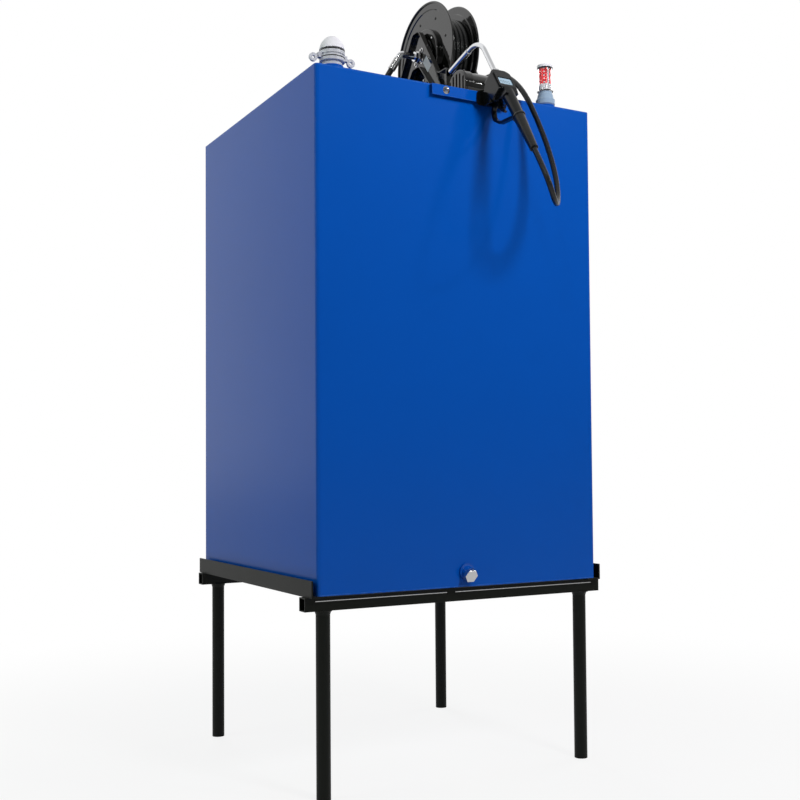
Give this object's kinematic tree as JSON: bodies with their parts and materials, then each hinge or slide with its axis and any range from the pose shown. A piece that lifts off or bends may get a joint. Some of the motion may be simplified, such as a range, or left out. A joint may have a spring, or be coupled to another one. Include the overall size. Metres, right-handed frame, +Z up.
{
  "type": "oil storage tank on stand",
  "caption": "Blue sheet-steel oil tank on a tubular leg stand, with a hose reel, pump, metered gun, filler cap, contents gauge and drain.",
  "frame": {"origin": "on the floor, under the middle of the whole outline: half way across the tank, and half way between the gun boot at the front and the tank at the back", "axes": "+Z up, +X to the right along the front, +Y from the front to the back"},
  "size_m": [1.062, 1.2805, 2.589],
  "materials": {
    "blue_paint": "gloss",
    "stand_paint": "satin",
    "black_paint": "gloss",
    "zinc": "satin",
    "chrome": "gloss",
    "hose_rubber": "satin",
    "gun_plastic": "satin",
    "white_plastic": "gloss",
    "grey_plastic": "satin",
    "clear_plastic": "gloss",
    "red_plastic": "gloss",
    "display": "gloss"
  },
  "bodies": {
    "frame": {"side_rail_left": "stand_paint", "side_rail_right": "stand_paint", "cross_rail_front": "stand_paint", "cross_rail_back": "stand_paint", "leg_front_left": "stand_paint", "leg_front_right": "stand_paint", "leg_back_left": "stand_paint", "leg_back_right": "stand_paint", "tank_shell": "blue_paint", "tank_bottom": "blue_paint", "tank_top": "blue_paint", "drain_socket": "blue_paint", "drain_plug": "zinc", "filler_socket": "blue_paint", "filler_coupler": "zinc", "filler_cap": "zinc", "vent_dome": "white_plastic", "gauge_socket": "blue_paint", "gauge_base": "grey_plastic", "gauge_window": "clear_plastic", "gauge_drum": "red_plastic", "reel_bracket_left": "black_paint", "reel_bracket_right": "black_paint", "reel_foot_front": "black_paint", "reel_foot_back": "black_paint", "reel_shaft": "zinc", "reel_inlet": "chrome", "hose_ferrule": "zinc", "jumper_hose": "hose_rubber", "pump_fan_cover": "black_paint", "pump_motor": "black_paint", "pump_head": "black_paint", "pump_outlet": "chrome", "pump_suction": "black_paint", "pump_foot": "black_paint", "nozzle_bracket": "blue_paint", "nozzle_holster": "gun_plastic", "gun_body": "gun_plastic", "gun_meter": "gun_plastic", "meter_display": "display", "spout_nut": "chrome", "gun_spout": "chrome", "spout_tip": "chrome", "swivel_boot": "hose_rubber", "trigger_guard": "gun_plastic", "delivery_hose": "hose_rubber"},
    "reel": {"reel_disc_left": "black_paint", "reel_disc_right": "black_paint", "reel_drum": "black_paint", "wound_hose": "hose_rubber", "spring_case": "black_paint"},
    "lever_left": {"cam_lever_left": "zinc"},
    "lever_right": {"cam_lever_right": "zinc"},
    "trigger": {"gun_trigger": "gun_plastic"}
  },
  "joints": [
    {"name": "reel_spin", "type": "hinge", "parent": "frame", "child": "reel", "pos_m": [0.176, 0.07734, 2.395], "axis": [1, 0, 0], "continuous": true},
    {"name": "cam_lever_left_lift", "type": "hinge", "parent": "frame", "child": "lever_left", "pos_m": [-0.4475, -0.27266, 2.193], "axis": [0, 1, 0], "range_deg": [0, 75]},
    {"name": "cam_lever_right_lift", "type": "hinge", "parent": "frame", "child": "lever_right", "pos_m": [-0.3605, -0.27266, 2.193], "axis": [0, -1, 0], "range_deg": [0, 75]},
    {"name": "trigger_pull", "type": "hinge", "parent": "frame", "child": "trigger", "pos_m": [0.1, -0.42049, 2.0774], "axis": [-1, 0, 0], "range_deg": [0, 14], "stiffness_Nm_per_rad": 0.3, "springref_deg": -8.59}
  ]
}
